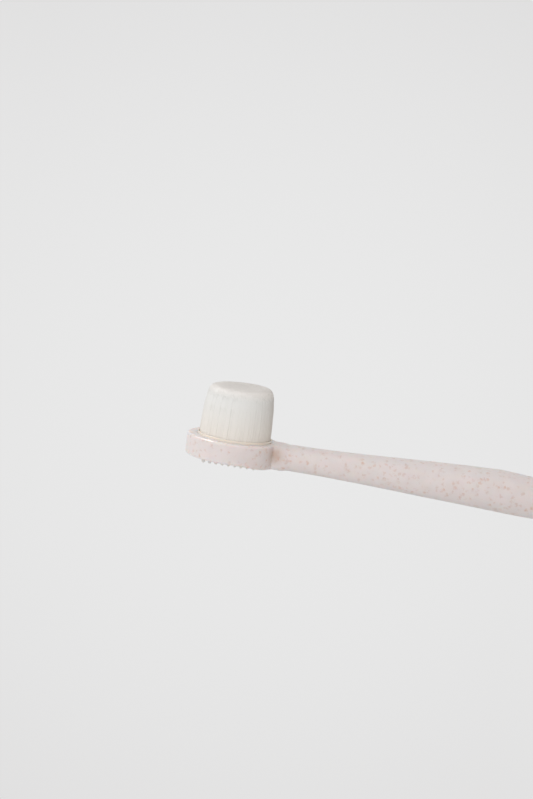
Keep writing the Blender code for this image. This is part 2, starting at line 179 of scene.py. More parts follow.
class Finish:
    """The nodes of a material or of the world, with one method that adds any node."""

    def __init__(self, owner):
        self.owner = owner
        owner.use_nodes = True
        self.tree = owner.node_tree
        self.shader = self.tree.nodes.get("Principled BSDF")

    def feed(self, socket, value):
        """Link a node's output to a socket, or give the socket a value of its own."""
        if isinstance(value, Value):
            self.tree.links.new(value.socket, socket)
        else:
            socket.default_value = value

    def node(self, kind, settings, sockets, output=0):
        """Add a node: its settings come first, then the values or links of its sockets."""
        made = self.tree.nodes.new(kind)
        for name, value in settings.items():
            setattr(made, name, value)
        for name, value in sockets.items():
            self.feed(made.inputs[name], value)
        return Value(self, made.outputs[output])

    def set(self, **sockets):
        """Set the shader's own sockets, named with underscores, to values or links."""
        for name, value in sockets.items():
            self.feed(self.shader.inputs[name.replace("_", " ")], value)

    def maths(self, operation, *values):
        """Work on numbers with a Math node."""
        return self.node("ShaderNodeMath", {"operation": operation}, dict(enumerate(values)))

    def vector(self, operation, *values, output="Vector"):
        """Work on vectors or colours with a Vector Math node."""
        settings = {"operation": operation}
        return self.node("ShaderNodeVectorMath", settings, dict(enumerate(values)), output)

    def scaled(self, vector, factor):
        """Make a vector longer, or a colour brighter, by a factor."""
        sockets = {"Vector": vector, "Scale": factor}
        return self.node("ShaderNodeVectorMath", {"operation": "SCALE"}, sockets)

    def dot(self, vector, fixed):
        """Give how far a vector reaches along a fixed one."""
        return self.vector("DOT_PRODUCT", vector, tuple(fixed), output="Value")

    def place(self):
        """Give the point of the surface, in metres, as the object holds it."""
        return self.node("ShaderNodeTexCoord", {}, {}, "Object")

    def noise(self, place, size, detail=2.0, output="Fac"):
        """Give a noise whose lumps are about this size, in metres."""
        sockets = {"Vector": place, "Scale": 1.0 / size, "Detail": detail}
        return self.node("ShaderNodeTexNoise", {}, sockets, output)

    def mix(self, share, first, second):
        """Mix two colours."""
        settings = {"data_type": "RGBA", "blend_type": "MIX"}
        return self.node("ShaderNodeMix", settings, {0: share, 6: first, 7: second}, 2)

    def fade(self, value, start, end, low=0.0, high=1.0):
        """Ease from low to high as a value goes from start to end."""
        settings = {"interpolation_type": "SMOOTHSTEP"}
        sockets = {
            "Value": value, "From Min": start, "From Max": end, "To Min": low, "To Max": high,
        }
        return self.node("ShaderNodeMapRange", settings, sockets)

    def vary(self, noise, low, high):
        """Let a noise move a number between low and high."""
        return self.fade(noise, *NOISE_MIDDLE, low, high)

    def ray(self, kind):
        """Give 1 for the light rays of one kind and 0 for the others."""
        return self.node("ShaderNodeLightPath", {}, {}, kind)

    def bump(self, height, strength, distance):
        """Turn a height into a bumped normal."""
        sockets = {"Height": height, "Strength": strength, "Distance": distance}
        return self.node("ShaderNodeBump", {}, sockets)


def screen(red, green, blue):
    """Turn a colour as a screen shows it, each part from 0 to 255, into the shader's own."""
    linear = [((level / 255.0 + 0.055) / 1.055) ** 2.4 for level in (red, green, blue)]
    return (*linear, 1.0)


print("finish helpers are ready")

# %% [markdown]
# The straw plastic
#
# The handle is a pale pink plastic filled with milled straw. The flecks lie at all depths: those at
# the surface are small, sharp and orange brown, and those a little deeper look larger, paler and
# soft. A Voronoi texture scatters one point in each cell of space, and its distance to that point
# makes a round fleck. Bending the space with noise first makes the flecks uneven, and a random
# number of each cell sets the fleck's size, so that some are hardly there. One soft brown spot is
# painted where the neck leaves the head: part a larger husk under the surface, part painted shade
# in the hollow of the throat.

# %% Finish the straw plastic
PLASTIC_PINK = screen(229, 220, 218)
PLASTIC_PALE = screen(232, 223, 221)
CLOUD_MIDDLE = (0.35, 0.65)
FLECK_TAN = screen(214, 174, 152)
FLECK_DEEP = screen(216, 193, 183)
TAN_STRENGTH = 0.8
DEEP_STRENGTH = 0.65
DEEP_SHIFT = (0.031, 0.017, 0.023)
BEND_SIZE = 0.7 * MM
BEND_REACH = 1.6 * MM
# The brown spot where the neck leaves the head: part a straw husk, part painted shade of the hollow
# throat.
HUSK_AND_SHADE_BROWN = screen(196, 168, 150)
HUSK_AND_SHADE_STRENGTH = 0.68
HUSK_AND_SHADE_PLACE = (HEAD_X + 10.9 * MM, -4.6 * MM, 5.9 * MM)
HUSK_AND_SHADE_CORE = 0.4 * MM
HUSK_AND_SHADE_REACH = 3.6 * MM
HUSK_AND_SHADE_RAGGEDNESS = 0.8 * MM


def flecks(finish, place, spacing, radius, softness, share):
    """Scatter flecks in space, each of its own size. A share of the cells has none."""
    cells = {"Vector": place, "Scale": 1.0 / spacing}
    distance = finish.node("ShaderNodeTexVoronoi", {}, cells, "Distance") * spacing
    colour = finish.node("ShaderNodeTexVoronoi", {}, cells, "Color")
    chance = finish.node("ShaderNodeSeparateColor", {}, {"Color": colour}, "Red")
    size = finish.fade(chance, 1.0 - share, 1.0, 0.0, radius)
    return finish.fade(distance - size, -softness, 0.0, 1.0, 0.0)


def flecked(finish, place, colour):
    """Scatter the pale deep flecks and the sharp ones of the surface over a colour."""
    noise = finish.noise(place, BEND_SIZE, 4.0, "Color")
    bend = finish.scaled(finish.vector("SUBTRACT", noise, (0.5, 0.5, 0.5)), BEND_REACH)
    bent = finish.vector("ADD", place, bend)
    moved = finish.vector("ADD", bent, DEEP_SHIFT)
    deep = flecks(finish, moved, spacing=1.2 * MM, radius=0.75 * MM, softness=0.6 * MM, share=1.0)
    tan = flecks(finish, bent, spacing=1.45 * MM, radius=0.7 * MM, softness=0.8 * MM, share=0.85)
    colour = finish.mix(deep * DEEP_STRENGTH, colour, FLECK_DEEP)
    return finish.mix(tan * TAN_STRENGTH, colour, FLECK_TAN)


def straw_plastic():
    """Make the pale pink plastic with straw flecks and a brown throat spot, part straw, part painted
    shade.
    """
    finish = Finish(bpy.data.materials.new("straw_plastic"))
    place = finish.place()
    cloud = finish.noise(place, 3.0 * MM, 3.0)
    plain = finish.mix(finish.fade(cloud, *CLOUD_MIDDLE), PLASTIC_PINK, PLASTIC_PALE)
    # Brown spot at the throat: part straw husk, part painted shade of the hollow there.
    away = finish.vector("DISTANCE", place, HUSK_AND_SHADE_PLACE, output="Value")
    away += finish.noise(place, 0.9 * MM, 3.0) * HUSK_AND_SHADE_RAGGEDNESS
    husk_and_shade = finish.fade(away, HUSK_AND_SHADE_CORE, HUSK_AND_SHADE_REACH, HUSK_AND_SHADE_STRENGTH, 0.0)
    grain = finish.noise(place, 0.12 * MM)
    swell = finish.noise(place, 2.5 * MM)
    finish.set(
        Base_Color=finish.mix(husk_and_shade, flecked(finish, place, plain), HUSK_AND_SHADE_BROWN),
        Roughness=finish.vary(grain, 0.36, 0.46),
        Normal=finish.bump(grain * 0.02 + swell * 0.3, strength=0.12, distance=0.2 * MM),
        Coat_Weight=0.12,
        Coat_Roughness=0.12,
        Subsurface_Weight=0.7,
        Subsurface_Radius=(1.0, 0.65, 0.5),
        Subsurface_Scale=1.6 * MM,
    )
    return finish.owner


STRAW_PLASTIC = straw_plastic()
print("straw plastic:", len(STRAW_PLASTIC.node_tree.nodes), "nodes")

# %% [markdown]
# The ring's plastic, the bristles and the soft pad
#
# The ring is a warm ivory plastic. The bristles are off-white nylon, a little warmer near their
# root, where light has passed through many of them. Towards their tapered tips they are painted
# paler, which is painted light against the shade that falls among the tips. Both follow from the
# height alone. Each filament also gets its own shade: the piece's map has a strip for each shade,
# and a filament lies in one of them. The pad is a matte rubber, which needs a fine grain and no
# gloss.

# %% Finish the ring
IVORY_LIGHT = screen(242, 231, 219)
IVORY_DARK = screen(237, 225, 211)


def ivory_plastic():
    """Make the ring's warm ivory plastic."""
    finish = Finish(bpy.data.materials.new("ivory_plastic"))
    place = finish.place()
    cloud = finish.noise(place, 2.0 * MM, 3.0)
    grain = finish.noise(place, 0.1 * MM)
    finish.set(
        Base_Color=finish.mix(cloud, IVORY_LIGHT, IVORY_DARK),
        Roughness=finish.vary(grain, 0.38, 0.5),
        Normal=finish.bump(grain, strength=0.08, distance=0.05 * MM),
        Subsurface_Weight=0.3,
        Subsurface_Radius=(1.0, 0.75, 0.5),
        Subsurface_Scale=0.6 * MM,
    )
    return finish.owner


IVORY_PLASTIC = ivory_plastic()

# %% Finish the bristles
TUFT_MAP = "OFBake"
BRISTLE_DARK = screen(230, 229, 226)
BRISTLE_LIGHT = screen(237, 236, 233)
BRISTLE_WARM = screen(239, 231, 221)
# Paler towards the top of the tuft: painted light against the shade among the tips.
BRISTLE_PAINTED_TIP_LIGHT = screen(246, 242, 238)
WARM_HEIGHT = 10.0 * MM
WARM_STRENGTH = 0.6
PAINTED_TIP_LIGHT_DEPTH = 3.0 * MM
PAINTED_TIP_LIGHT_FADE = 2.4 * MM


def bristle_nylon():
    """Make the nylon: warm at the root, with painted light near the tips, each filament in its own
    shade.
    """
    finish = Finish(bpy.data.materials.new("bristle_nylon"))
    spot = finish.node("ShaderNodeUVMap", {"uv_map": TUFT_MAP}, {})
    across = finish.node("ShaderNodeSeparateXYZ", {}, {"Vector": spot}, "X")
    height = finish.dot(finish.place(), (0.0, 0.0, 1.0))
    warm = finish.fade(height, ring_high.z, ring_high.z + WARM_HEIGHT, WARM_STRENGTH, 0.0)
    # Painted light: the colour turns paler towards the tips, against the shade among them.
    painted_tip_light_start = tuft_high.z - PAINTED_TIP_LIGHT_DEPTH
    painted_tip_light = finish.fade(height, painted_tip_light_start, painted_tip_light_start + PAINTED_TIP_LIGHT_FADE)
    body = finish.mix(across, BRISTLE_DARK, BRISTLE_LIGHT)
    body = finish.mix(painted_tip_light, body, BRISTLE_PAINTED_TIP_LIGHT)
    finish.set(
        Base_Color=finish.mix(warm, body, BRISTLE_WARM),
        Roughness=0.6,
        Specular_IOR_Level=0.12,
    )
    return finish.owner


BRISTLE_NYLON = bristle_nylon()

# %% Finish the soft pad
RUBBER_LIGHT = screen(236, 233, 229)
RUBBER_DARK = screen(229, 225, 220)


def soft_rubber():
    """Make the pad's matte off-white rubber."""
    finish = Finish(bpy.data.materials.new("soft_rubber"))
    place = finish.place()
    cloud = finish.noise(place, 1.5 * MM, 3.0)
    grain = finish.noise(place, 0.08 * MM)
    finish.set(
        Base_Color=finish.mix(cloud, RUBBER_LIGHT, RUBBER_DARK),
        Roughness=finish.vary(grain, 0.62, 0.78),
        Normal=finish.bump(grain, strength=0.15, distance=0.04 * MM),
        Subsurface_Weight=0.2,
        Subsurface_Radius=(1.0, 0.85, 0.75),
        Subsurface_Scale=0.5 * MM,
    )
    return finish.owner


SOFT_RUBBER = soft_rubber()
print("finishes:", ", ".join(material.name for material in bpy.data.materials))

# %% [markdown]
# Helpers for the pieces
#
# Each piece is a bmesh turned into an object at the origin, its place in its mesh. Round pieces are
# a profile spun round an upright axis. The profile's points are joined into a chain and the spin
# operator does the rest, so only the outline is ever written down.

# %% Make the modelling helpers
SHARP_ANGLE = math.radians(35.0)
MERGE_DISTANCE = 0.0002 * MM
CORNER_STEPS = 6


def mix(first, second, share):
    """Give the value that lies at this share of the way from first to second."""
    return first + (second - first) * share


def smooth_step(share):
    """Ease from 0 to 1 as share goes from 0 to 1, level at both ends."""
    share = min(max(share, 0.0), 1.0)
    return share * share * (3.0 - 2.0 * share)


def spread(first, last, steps):
    """List places at even steps from first to last, without first itself."""
    return [mix(first, last, step / steps) for step in range(1, steps + 1)]


def add_piece(name, bm, material, sharp_angle=SHARP_ANGLE):
    """Turn a bmesh into a smooth-shaded object with its faces pointing out."""
    bmesh.ops.recalc_face_normals(bm, faces=bm.faces)
    mesh = bpy.data.meshes.new(name)
    bm.to_mesh(mesh)
    bm.free()
    mesh.shade_smooth()
    mesh.set_sharp_from_angle(angle=sharp_angle)
    mesh.materials.append(material)
    piece = bpy.data.objects.new(name, mesh)
    bpy.context.scene.collection.objects.link(piece)
    return piece


def corner(centre, radius, start, end, steps=CORNER_STEPS):
    """Round a profile's corner: an arc between two angles in degrees, ends included."""
    points = []
    for step in range(steps + 1):
        angle = math.radians(mix(start, end, step / steps))
        across = centre[0] + radius * math.cos(angle)
        points.append((across, centre[1] + radius * math.sin(angle)))
    return points


def turned(profile, centre_x, steps, closed=False):
    """Spin a profile of radius and height points round an upright axis, into one closed body."""
    bm = bmesh.new()
    verts = [bm.verts.new((centre_x + radius, 0.0, height)) for radius, height in profile]
    edges = [bm.edges.new(pair) for pair in zip(verts, verts[1:])]
    if closed:
        edges.append(bm.edges.new((verts[-1], verts[0])))
    bmesh.ops.spin(
        bm, geom=verts + edges, cent=(centre_x, 0, 0), axis=(0, 0, 1), dvec=(0, 0, 0),
        angle=2.0 * math.pi, steps=steps, use_merge=True, use_duplicate=False,
    )
    bmesh.ops.remove_doubles(bm, verts=bm.verts, dist=MERGE_DISTANCE)
    return bm


def told(piece):
    """Print how many triangles a piece has once its modifiers are applied."""
    evaluated = piece.evaluated_get(bpy.context.evaluated_depsgraph_get())
    mesh = evaluated.to_mesh()
    triangles = sum(len(face.vertices) - 2 for face in mesh.polygons)
    print(f"{piece.name}: {triangles} triangles")
    evaluated.to_mesh_clear()


print("modelling helpers are ready")

# %% [markdown]
# The handle's sections
#
# Head, neck and grip are one moulding. It could be lofted through rings, but a ring-by-ring loft
# meets the round head badly. Here a coarse cage is subdivided instead: the head is a disc, a patch
# of its side faces is extruded from section to section down to the tail, and Subdivision Surface
# rounds it all at once, with the hollow throat between head and neck for free. The sections follow
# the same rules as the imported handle: a slim neck that grows evenly into an oval grip with a
# shallow thumb rest, and a rounded tail.

# %% Work out the handle's sections
HEAD_RISE = 0.42 * MM
HEAD_THICKNESS = 5.2 * MM
HEAD_EDGE = 1.0 * MM
HEAD_FLAT_STEP = 3.0 * MM
THROAT_PULL = 0.3 * MM
THROAT_REACH = 1.0 * MM
THROAT_FLARE = 0.15 * MM
THROAT_LIFT = 0.2 * MM
THROAT_DROP = 0.28 * MM
THROAT_RAMP = 0.8 * MM
THROAT_RAMP_START = 3.0 * MM
THROAT_RAMP_LENGTH = 6.0 * MM
NECK_LENGTH = 2.8 * MM
NECK_WIDTH = 8.4 * MM
NECK_THICKNESS = 6.3 * MM
TAPER_LENGTH = 58.0 * MM
GRIP_WIDTH = 13.0 * MM
GRIP_THICKNESS = 10.15 * MM
BELLY_DROP = 0.5 * MM
BELLY_LEAD = 12.0 * MM
BELLY_SLOPE = 16.0 * MM
LAND_CUT = 0.45 * MM
THUMB_REST_LEAD = 6.0 * MM
THUMB_REST_LENGTH = 36.0 * MM
THUMB_REST_SLOPE = 7.0 * MM
THUMB_REST_DEPTH = 0.62 * MM
TAIL_TAPER = 40.0 * MM
TAIL_NARROWING = 0.7 * MM
TAIL_LOWERING = 0.8 * MM
TAIL_ROUND = 5.5 * MM

HEAD_COLUMNS = 24
PATCH_SIDE = 3
TAPER_STEPS = 6
SLOPE_STEPS = 2
GRIP_STEPS = 3
TAIL_STEPS = 4
SECTION_FULLNESS = 0.06
THROAT_FULLNESS = 0.16
THROAT_CREASE = 0.6
TAIL_END_SHARE = 0.2

AXIS_HEIGHT = GRIP_THICKNESS / 2 + BELLY_DROP - LAND_CUT
HEAD_TOP = HEAD_THICKNESS / 2
HEAD_BACK = -HEAD_THICKNESS / 2
THROAT_X = HEAD_RADIUS + THROAT_REACH
NECK_X = HEAD_RADIUS + NECK_LENGTH
GRIP_X = NECK_X + TAPER_LENGTH
TAIL_X = handle_high.x - HEAD_X
THUMB_REST_X = GRIP_X - THUMB_REST_LEAD
THUMB_REST_END_X = THUMB_REST_X + THUMB_REST_LENGTH
TAIL_ROUND_X = TAIL_X - TAIL_ROUND


def cage_share(sides):
    """Give the share of a ring-shaped cage's radius that its subdivided surface reaches."""
    return (2.0 + math.cos(2.0 * math.pi / sides)) / 3.0


def section_at(x):
    """Give the handle's half width, and its reach above and below the axis, at this place."""
    growth = smooth_step((x - NECK_X) / TAPER_LENGTH)
    ending = smooth_step((x - (TAIL_X - TAIL_TAPER)) / TAIL_TAPER)
    pressed = smooth_step((x - THUMB_REST_X) / THUMB_REST_SLOPE)
    pressed -= smooth_step((x - THUMB_REST_END_X + THUMB_REST_SLOPE) / THUMB_REST_SLOPE)
    belly = smooth_step((x - GRIP_X + BELLY_LEAD) / BELLY_SLOPE)
    half_width = mix(NECK_WIDTH, GRIP_WIDTH, growth) / 2 - TAIL_NARROWING * ending
    half_thickness = mix(NECK_THICKNESS, GRIP_THICKNESS, growth) / 2
    rise = half_thickness - THUMB_REST_DEPTH * pressed - TAIL_LOWERING * ending
    drop = half_thickness + BELLY_DROP * belly
    return half_width, rise, drop


def throat_section():
    """Give the section just behind the head, a little larger all round than the neck."""
    half_width, rise, drop = section_at(NECK_X)
    return half_width + THROAT_FLARE, rise + THROAT_LIFT, drop + THROAT_DROP


def handle_stations():
    """List where the handle's cage has a section, with its sizes and how full its corners are."""
    rest_edge = THUMB_REST_X + THUMB_REST_SLOPE
    end_edge = THUMB_REST_END_X - THUMB_REST_SLOPE
    places = [NECK_X]
    places += spread(NECK_X, THUMB_REST_X, TAPER_STEPS)
    places += spread(THUMB_REST_X, rest_edge, SLOPE_STEPS)
    places += spread(rest_edge, end_edge, GRIP_STEPS)
    places += spread(end_edge, THUMB_REST_END_X, SLOPE_STEPS)
    places += spread(THUMB_REST_END_X, TAIL_ROUND_X, GRIP_STEPS)
    stations = [(THROAT_X, throat_section(), THROAT_FULLNESS)]
    stations += [(x, section_at(x), SECTION_FULLNESS) for x in places]
    for turn in spread(0.0, math.pi / 2, TAIL_STEPS):
        share = max(math.cos(turn), TAIL_END_SHARE)
        sizes = [size * share for size in section_at(TAIL_ROUND_X)]
        stations.append((TAIL_ROUND_X + TAIL_ROUND * math.sin(turn), sizes, SECTION_FULLNESS))
    return stations


print("handle stations:", len(handle_stations()))

# %% [markdown]
# The handle's cage
#
# A cone operator with equal radii makes the head's disc, insets in its caps hold the edge's
# roundness, and a plane through it twice gives the side three rows. Three columns by three rows
# towards the tail are then extruded once for each section, and their sixteen points moved onto it.

# %% Model the cage
def section_point(column, row, fullness):
    """Place a point of the square patch that carries a section, on or in a circle of radius 1."""
    across = (2 * column - PATCH_SIDE) / PATCH_SIDE
    up = (2 * row - PATCH_SIDE) / PATCH_SIDE
    reach = max(abs(across), abs(up))
    if reach == 0.0:
        return 0.0, 0.0
    if abs(across) == abs(up):
        reach *= 1.0 + fullness
    if abs(up) >= abs(across):
        angle = across / abs(up) * math.pi / 4
        return reach * math.sin(angle), math.copysign(reach * math.cos(angle), up)
    angle = up / abs(across) * math.pi / 4
    return math.copysign(reach * math.cos(angle), across), reach * math.sin(angle)


def place_section(faces, x, sizes, fullness):
    """Move a patch's points onto one section of the handle."""
    half_width, rise, drop = [size / cage_share(4 * PATCH_SIDE) for size in sizes]
    points = {vert for face in faces for vert in face.verts}
    by_height = sorted(points, key=lambda vert: vert.co.z)
    width = PATCH_SIDE + 1
    for row in range(width):
        in_row = sorted(by_height[row * width:(row + 1) * width], key=lambda vert: vert.co.y)
        for column, vert in enumerate(in_row):
            across, up = section_point(column, row, fullness)
            vert.co = (x, half_width * across, (rise if up > 0.0 else drop) * up)


def head_cage():
    """Model the head's disc, with rows in its side, about the handle's axis."""
    bm = bmesh.new()
    turn = math.pi / HEAD_COLUMNS * (PATCH_SIDE % 2) - math.pi / 2
    place = Matrix.Translation((0, 0, HEAD_RISE)) @ Matrix.Rotation(turn, 4, "Z")
    cage_radius = HEAD_RADIUS / cage_share(HEAD_COLUMNS)
    bmesh.ops.create_cone(
        bm, cap_ends=True, segments=HEAD_COLUMNS, radius1=cage_radius, radius2=cage_radius,
        depth=HEAD_THICKNESS, matrix=place,
    )
    for face in [face for face in bm.faces if len(face.verts) > 4]:
        for step in (HEAD_EDGE, HEAD_FLAT_STEP):
            bmesh.ops.inset_region(bm, faces=[face], thickness=step, use_even_offset=True)
    for vert in [vert for vert in bm.verts if vert.co.z < HEAD_RISE]:
        along = (vert.co.x - THROAT_RAMP_START) / THROAT_RAMP_LENGTH
        vert.co.z -= THROAT_RAMP * smooth_step(along)
    for height in (HEAD_BACK + HEAD_EDGE, HEAD_TOP - HEAD_EDGE):
        bmesh.ops.bisect_plane(
            bm, geom=bm.verts[:] + bm.edges[:] + bm.faces[:],
            plane_co=(0, 0, HEAD_RISE + height), plane_no=(0, 0, 1),
        )
    return bm, cage_radius


def neck_patch(bm, cage_radius):
    """Pick the side faces that carry the neck, and draw in and crease their outline."""
    column_angle = 2.0 * math.pi / HEAD_COLUMNS
    half_patch = column_angle * PATCH_SIDE / 2
    patch = []
    for face in bm.faces:
        centre = face.calc_center_median()
        is_side = math.hypot(centre.x, centre.y) > cage_radius - HEAD_EDGE / 2
        if is_side and abs(math.atan2(centre.y, centre.x)) < half_patch:
            patch.append(face)
    for vert in {vert for face in patch for vert in face.verts}:
        if abs(math.atan2(vert.co.y, vert.co.x)) > half_patch - column_angle / 2:
            outward = Vector((vert.co.x, vert.co.y, 0.0)).normalized()
            vert.co -= outward * THROAT_PULL
    crease = bm.edges.layers.float.new("crease_edge")
    for edge in {edge for face in patch for edge in face.edges}:
        if any(face not in patch for face in edge.link_faces):
            edge[crease] = THROAT_CREASE
    return patch


def handle_cage():
    """Model the coarse cage of head, neck and grip, and set it in its place."""
    bm, cage_radius = head_cage()
    patch = neck_patch(bm, cage_radius)
    for x, sizes, fullness in handle_stations():
        grown = bmesh.ops.extrude_face_region(bm, geom=patch)["geom"]
        bmesh.ops.delete(bm, geom=patch, context="FACES")
        patch = [item for item in grown if isinstance(item, bmesh.types.BMFace)]
        place_section(patch, x, sizes, fullness)
    bm.transform(Matrix.Translation((HEAD_X, 0, AXIS_HEIGHT)))
    return bm


cage = handle_cage()
print("handle cage:", len(cage.faces), "faces")

# %% [markdown]
# The handle's seats
#
# The head is a cup with the ring and the bristles in its top and the pad in its back. On the real
# moulding both seats have slightly rounded rims. A Boolean with a turned cutter makes each seat,
# and the cutter widens in a small arc at the mouth, so that the rim comes out rounded as well. The
# underside of the grip is cut by a flat box, which leaves the land that the brush lies on.

# %% Cut the seats and finish the handle
HANDLE_LEVELS = 3
ROUND_STEPS = 192
RIM_ROUND = 0.05 * MM
RIM_OVERSHOOT = 0.02 * MM
SEAT_GAP = 0.01 * MM
POCKET_DEPTH = 2.3 * MM
RECESS_DEPTH = 1.2 * MM

head_height = AXIS_HEIGHT + HEAD_RISE
pocket_radius = RING_RADIUS + SEAT_GAP
pocket_mouth = head_height + HEAD_TOP
pocket_floor = pocket_mouth - POCKET_DEPTH
recess_radius = PAD_RADIUS + CLEARANCE
recess_mouth = head_height + HEAD_BACK
recess_ceiling = recess_mouth + RECESS_DEPTH


def seat_cutter(name, centre_x, radius, inner, mouth, out):
    """Make a round cutter from an inner height to a mouth, widening there, on towards out."""
    way = math.copysign(1.0, out)
    mouth += way * RIM_OVERSHOOT
    rim_centre = (radius + RIM_ROUND, mouth - way * RIM_ROUND)
    profile = [(0.0, inner), (radius, inner)]
    profile += corner(rim_centre, RIM_ROUND, 180.0, 180.0 - way * 90.0)
    profile += [(radius + RIM_ROUND, mouth + out), (0.0, mouth + out)]
    return add_piece(name, turned(profile, centre_x, ROUND_STEPS), STRAW_PLASTIC)


def land_cutter():
    """Make a flat box with its top on the surface that the brush lies on."""
    bm = bmesh.new()
    size = Matrix.Diagonal((handle_high.x * 4, GRIP_WIDTH * 2, GRIP_THICKNESS, 1.0))
    place = Matrix.Translation((0, 0, -GRIP_THICKNESS / 2)) @ size
    bmesh.ops.create_cube(bm, size=1.0, matrix=place)
    return add_piece("land", bm, STRAW_PLASTIC)


def cut(piece, cutter):
    """Take the cutter's shape out of a piece."""
    modifier = piece.modifiers.new("cut by " + cutter.name, "BOOLEAN")
    modifier.operation = "DIFFERENCE"
    modifier.solver = "EXACT"
    modifier.object = cutter


def apply_modifiers(piece):
    """Keep a piece's evaluated mesh as its own, and drop its modifiers."""
    evaluated = piece.evaluated_get(bpy.context.evaluated_depsgraph_get())
    mesh = bpy.data.meshes.new_from_object(evaluated)
    piece.modifiers.clear()
    piece.data = mesh
    mesh.name = piece.name


handle = add_piece("handle", cage, STRAW_PLASTIC, sharp_angle=math.pi)
rounding = handle.modifiers.new("rounded surface", "SUBSURF")
rounding.levels = HANDLE_LEVELS
rounding.render_levels = HANDLE_LEVELS
cutters = [
    seat_cutter("pocket", TUFT_X, pocket_radius, pocket_floor, pocket_mouth, HEAD_THICKNESS),
    seat_cutter("recess", HEAD_X, recess_radius, recess_ceiling, recess_mouth, -HEAD_THICKNESS),
    land_cutter(),
]
for cutter in cutters:
    cut(handle, cutter)
apply_modifiers(handle)
handle.data.shade_smooth()
handle.data.set_sharp_from_angle(angle=SHARP_ANGLE)
for cutter in cutters:
    bpy.data.objects.remove(cutter)
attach(handle, "root")
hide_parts("handle_body")
told(handle)

# %% [markdown]
# The ring round the bristles
#
# The ring shows as a thin warm line between the bristles and the head. On the real brush it fills
# the pocket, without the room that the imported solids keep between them, so its profile runs from
# the root of the bristles to the wall of the pocket, with a small round at each upper edge.

# %% Turn the ring
RING_EDGE = 0.1 * MM
RING_WALL = 0.3 * MM
ring_outer = RING_RADIUS
ring_inner = ring_outer - RING_WALL
ring_top = ring_high.z
ring_profile = [(ring_inner, ring_low.z), (ring_outer, ring_low.z)]
ring_profile += corner((ring_outer - RING_EDGE, ring_top - RING_EDGE), RING_EDGE, 0.0, 90.0)
ring_profile += corner((ring_inner + RING_EDGE, ring_top - RING_EDGE), RING_EDGE, 90.0, 180.0)
ring_body = turned(ring_profile, TUFT_X, ROUND_STEPS, closed=True)
ring = add_piece("bristle_ring", ring_body, IVORY_PLASTIC)
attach(ring, "root")
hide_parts("bristle_carrier")
told(ring)

# %% [markdown]
# The bristles
#
# The tuft is thousands of very fine filaments, tapered at the tips and fused at the root. Hair
# curves would be lost in an export to plain meshes, so each filament is a slim cone of four
# sides. One is modelled, with its last cut close to the end, so that only the very tip is
# shaded round, and the duplicate operator doubles it until there are enough. Then each copy is
# moved to its place. A sunflower's rule sets the roots evenly in a circle. The outer filaments
# are shorter, which makes the rounded edge of the crown. Each leans in a little and sways at
# random, together with its neighbours, which gives the soft streaks down the side.

# %% Model one filament and double it
FILAMENT_SIDES = 4
FILAMENT_CUTS = (0.4, 0.75, 0.985)
FILAMENT_DOUBLINGS = 12
FILAMENT_BLOCKS = 3


def filament_mesh(name):
    """Model one upright filament of radius and height 1, and double it again and again."""
    bm = bmesh.new()
    bmesh.ops.create_cone(
        bm, cap_ends=True, segments=FILAMENT_SIDES, radius1=1.0, radius2=1.0, depth=1.0,
        matrix=Matrix.Translation((0, 0, 0.5)),
    )
    for height in FILAMENT_CUTS:
        bmesh.ops.bisect_plane(
            bm, geom=bm.verts[:] + bm.edges[:] + bm.faces[:],
            plane_co=(0, 0, height), plane_no=(0, 0, 1),
        )
    for _ in range(FILAMENT_DOUBLINGS):
        bmesh.ops.duplicate(bm, geom=bm.verts[:] + bm.edges[:] + bm.faces[:])
    mesh = bpy.data.meshes.new(name)
    bm.to_mesh(mesh)
    bm.free()
    return mesh


first_block = filament_mesh("bristles_1")
FILAMENT_POINTS = FILAMENT_SIDES * (len(FILAMENT_CUTS) + 2)
FILAMENTS = 2 ** FILAMENT_DOUBLINGS
print(FILAMENTS, "filaments a block,", len(first_block.polygons), "faces")

# %% Set out the filaments
CROWN_DROP = 2.2 * MM
CROWN_POWER = 14
CROWN_TILT = 0.03
FILAMENT_RADIUS = 0.1 * MM
TIP_SHARE = 0.85
TAPER_POWER = 4
INWARD_LEAN = 0.35 * MM
LEAN_POWER = 1.5
CROWN_PULL = 0.35 * MM
PULL_POWER = 6
CLUMP_SIZE = 2.2 * MM
CLUMP_SWAY = 0.012 * MM
CLUMP_WAVES = 10
CLUMP_SEED = 5
OWN_SWAY = 0.01 * MM
ROOT_SCATTER = 0.02 * MM
TIP_UNEVENNESS = 0.05 * MM
UNEVENNESS_SHAPE = 1.2
EDGE_UNEVENNESS = 3.5
BLOCK_SEED = 20
TONES = 64
MAP_HEIGHTS = (0.01, 0.99)
GOLDEN_ANGLE = math.pi * (3.0 - math.sqrt(5.0))

root_reach = ring_inner - SEAT_GAP
root_disc_low = pocket_floor + CLEARANCE
filament_low = pocket_floor + CLEARANCE * 2
crown_top = tuft_high.z - CROWN_TILT * ring_inner


def inward_at(height, share):
    """Give how far a filament leans in, by its share of the height and of the radius."""
    return INWARD_LEAN * height ** LEAN_POWER + CROWN_PULL * height ** PULL_POWER * share ** 2


def clump_sway(x, y):
    """Give a smooth, uneven push across the tuft, as a sum of a few waves."""
    waves = np.random.default_rng(CLUMP_SEED)
    push = np.zeros((2, len(x)))
    for _ in range(CLUMP_WAVES):
        angle = waves.uniform(0.0, 2.0 * math.pi)
        length = CLUMP_SIZE * waves.uniform(0.7, 2.2)
        phase = waves.uniform(0.0, 2.0 * math.pi)
        along = x * math.cos(angle) + y * math.sin(angle)
        wave = np.sin(along * 2.0 * math.pi / length + phase)
        push += wave * np.array([[math.cos(angle)], [math.sin(angle)]])
    return push * CLUMP_SWAY / math.sqrt(CLUMP_WAVES)


